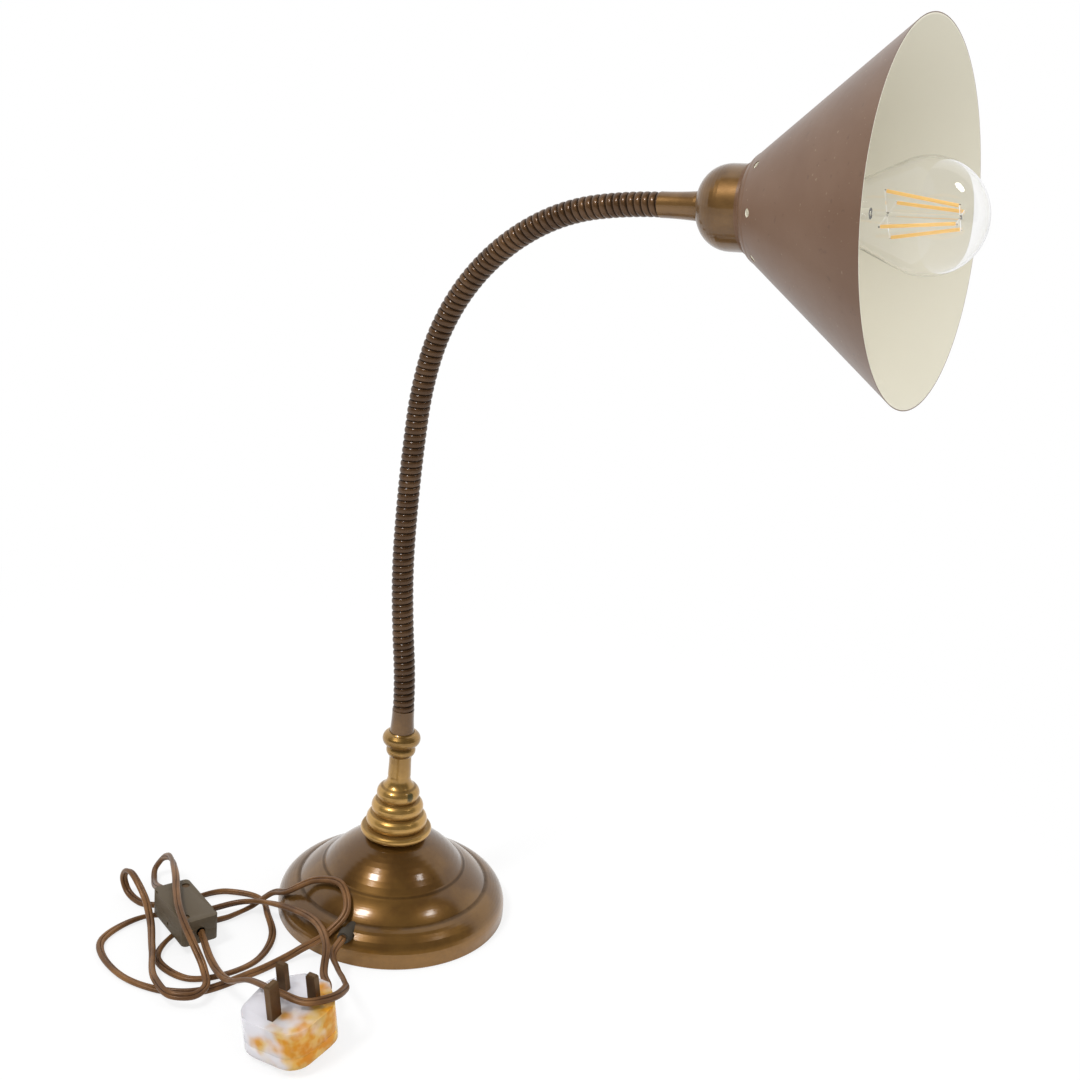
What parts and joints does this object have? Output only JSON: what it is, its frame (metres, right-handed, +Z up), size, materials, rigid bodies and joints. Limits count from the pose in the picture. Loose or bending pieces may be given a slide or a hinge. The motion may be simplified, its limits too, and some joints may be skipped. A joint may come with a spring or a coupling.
{
  "type": "gooseneck desk lamp",
  "caption": "Desk lamp with a stepped brass base, turned stem, wound gooseneck that bends every way, cone shade, clear filament bulb, inline switch and three-pin plug on a flat cord.",
  "frame": {"origin": "centre of the underside of the round base, on the surface that it stands on", "axes": "+Z up, along the stem; the neck bends towards +X at rest and the shade faces +X; the cord leaves the base near -Y"},
  "size_m": [0.4762, 0.2816, 0.6013],
  "materials": {
    "aged_brass": "lacquered brass with a brown patina, soft gloss",
    "bare_brass": "turned brass, satin",
    "iron": "rough casting, painted black",
    "felt": "dark green felt",
    "grommet_rubber": "dark olive rubber, matte",
    "zinc_steel": "zinc plated steel",
    "neck_bronze": "dark bronze lacquer over wound strip, glossy crests",
    "flex_pvc": "brown and gold flat twin flex, soft gloss",
    "shade_enamel": "mauve brown satin lacquer outside, cream enamel inside",
    "black_insulator": "moulded black plastic",
    "clear_glass": "clear blown glass",
    "cap_aluminium": "drawn aluminium",
    "amber_filament": "amber coated filament",
    "olive_plastic": "moulded olive brown plastic, matte",
    "clear_plastic": "clear moulded plastic, yellowed",
    "fuse_ceramic": "glazed ceramic"
  },
  "bodies": {
    "base": {"base_shell": "aged_brass", "base_weight": "iron", "base_felt": "felt", "cord_grommet": "grommet_rubber", "threaded_tube": "bare_brass", "tube_nut": "zinc_steel", "tube_washer": "zinc_steel", "stem_foot": "aged_brass", "stem_collar": "aged_brass", "lower_ferrule": "aged_brass", "neck_turns_00": "neck_bronze", "neck_flex_00": "flex_pvc", "cord_to_switch": "flex_pvc", "cord_to_plug": "flex_pvc", "switch_base": "olive_plastic", "switch_cover": "olive_plastic", "switch_screws": "bare_brass", "switch_contacts": "bare_brass", "plug_base": "clear_plastic", "plug_cover": "clear_plastic", "earth_pin": "bare_brass", "line_and_neutral_pins": "bare_brass", "plug_fuse": "fuse_ceramic", "plug_screws": "bare_brass", "plug_cord_grip": "black_insulator"},
    "neck_1": {"neck_turns_01": "neck_bronze", "neck_flex_01": "flex_pvc"},
    "neck_2": {"neck_turns_02": "neck_bronze", "neck_flex_02": "flex_pvc"},
    "neck_3": {"neck_turns_03": "neck_bronze", "neck_flex_03": "flex_pvc"},
    "neck_4": {"neck_turns_04": "neck_bronze", "neck_flex_04": "flex_pvc"},
    "neck_5": {"neck_turns_05": "neck_bronze", "neck_flex_05": "flex_pvc"},
    "neck_6": {"neck_turns_06": "neck_bronze", "neck_flex_06": "flex_pvc"},
    "neck_7": {"neck_turns_07": "neck_bronze", "neck_flex_07": "flex_pvc"},
    "neck_8": {"neck_turns_08": "neck_bronze", "neck_flex_08": "flex_pvc"},
    "neck_9": {"neck_turns_09": "neck_bronze", "neck_flex_09": "flex_pvc"},
    "head": {"neck_turns_10": "neck_bronze", "neck_flex_10": "flex_pvc", "upper_ferrule": "aged_brass", "holder_nipple": "bare_brass", "holder_cup": "aged_brass", "cup_nut": "zinc_steel", "holder_cap": "bare_brass", "holder_barrel": "bare_brass", "insulator_insert": "black_insulator", "contact_plungers": "bare_brass", "shade_ring": "bare_brass", "shade": "shade_enamel", "bulb_cap": "cap_aluminium", "bulb_glass": "clear_glass", "bulb_mount": "clear_glass", "led_filaments": "amber_filament"},
    "rocker": {"switch_rocker": "olive_plastic"}
  },
  "joints": [
    {"name": "neck_bend_1", "type": "hinge", "parent": "base", "child": "neck_1", "pos_m": [-0.0024, 0, 0.1842], "axis": [0, 1, 0], "range_deg": [-14, 14]},
    {"name": "neck_swing_2", "type": "hinge", "parent": "neck_1", "child": "neck_2", "pos_m": [-0.00616, 0, 0.22332], "axis": [0.9976, 0, 0.0698], "range_deg": [-14, 14]},
    {"name": "neck_bend_3", "type": "hinge", "parent": "neck_2", "child": "neck_3", "pos_m": [-0.00719, 0, 0.26259], "axis": [0, 1, 0], "range_deg": [-14, 14]},
    {"name": "neck_swing_4", "type": "hinge", "parent": "neck_3", "child": "neck_4", "pos_m": [-0.00582, 0, 0.30186], "axis": [0.9986, 0, -0.0523], "range_deg": [-14, 14]},
    {"name": "neck_bend_5", "type": "hinge", "parent": "neck_4", "child": "neck_5", "pos_m": [-0.00308, 0, 0.34107], "axis": [0, 1, 0], "range_deg": [-14, 14]},
    {"name": "neck_swing_6", "type": "hinge", "parent": "neck_5", "child": "neck_6", "pos_m": [0.00374, 0, 0.37972], "axis": [0.9659, 0, -0.2588], "range_deg": [-14, 14]},
    {"name": "neck_bend_7", "type": "hinge", "parent": "neck_6", "child": "neck_7", "pos_m": [0.01873, 0, 0.41593], "axis": [0, 1, 0], "range_deg": [-14, 14]},
    {"name": "neck_swing_8", "type": "hinge", "parent": "neck_7", "child": "neck_8", "pos_m": [0.04259, 0, 0.44702], "axis": [0.7071, 0, -0.7071], "range_deg": [-14, 14]},
    {"name": "neck_bend_9", "type": "hinge", "parent": "neck_8", "child": "neck_9", "pos_m": [0.07368, 0, 0.47087], "axis": [0, 1, 0], "range_deg": [-14, 14]},
    {"name": "neck_swing_10", "type": "hinge", "parent": "neck_9", "child": "head", "pos_m": [0.11011, 0, 0.48522], "axis": [0.225, 0, -0.9744], "range_deg": [-14, 14]},
    {"name": "rocker_tilt", "type": "hinge", "parent": "base", "child": "rocker", "pos_m": [-0.0847, -0.1092, 0.0098], "axis": [-0.3907, -0.9205, 0], "range_deg": [-16, 0]}
  ],
  "couplings": [
    {"joint": "neck_bend_3", "follows": "neck_bend_1", "ratio": 1},
    {"joint": "neck_bend_5", "follows": "neck_bend_1", "ratio": 1},
    {"joint": "neck_bend_9", "follows": "neck_bend_7", "ratio": 1},
    {"joint": "neck_swing_4", "follows": "neck_swing_2", "ratio": 1},
    {"joint": "neck_swing_8", "follows": "neck_swing_6", "ratio": 1},
    {"joint": "neck_swing_10", "follows": "neck_swing_6", "ratio": 1}
  ]
}
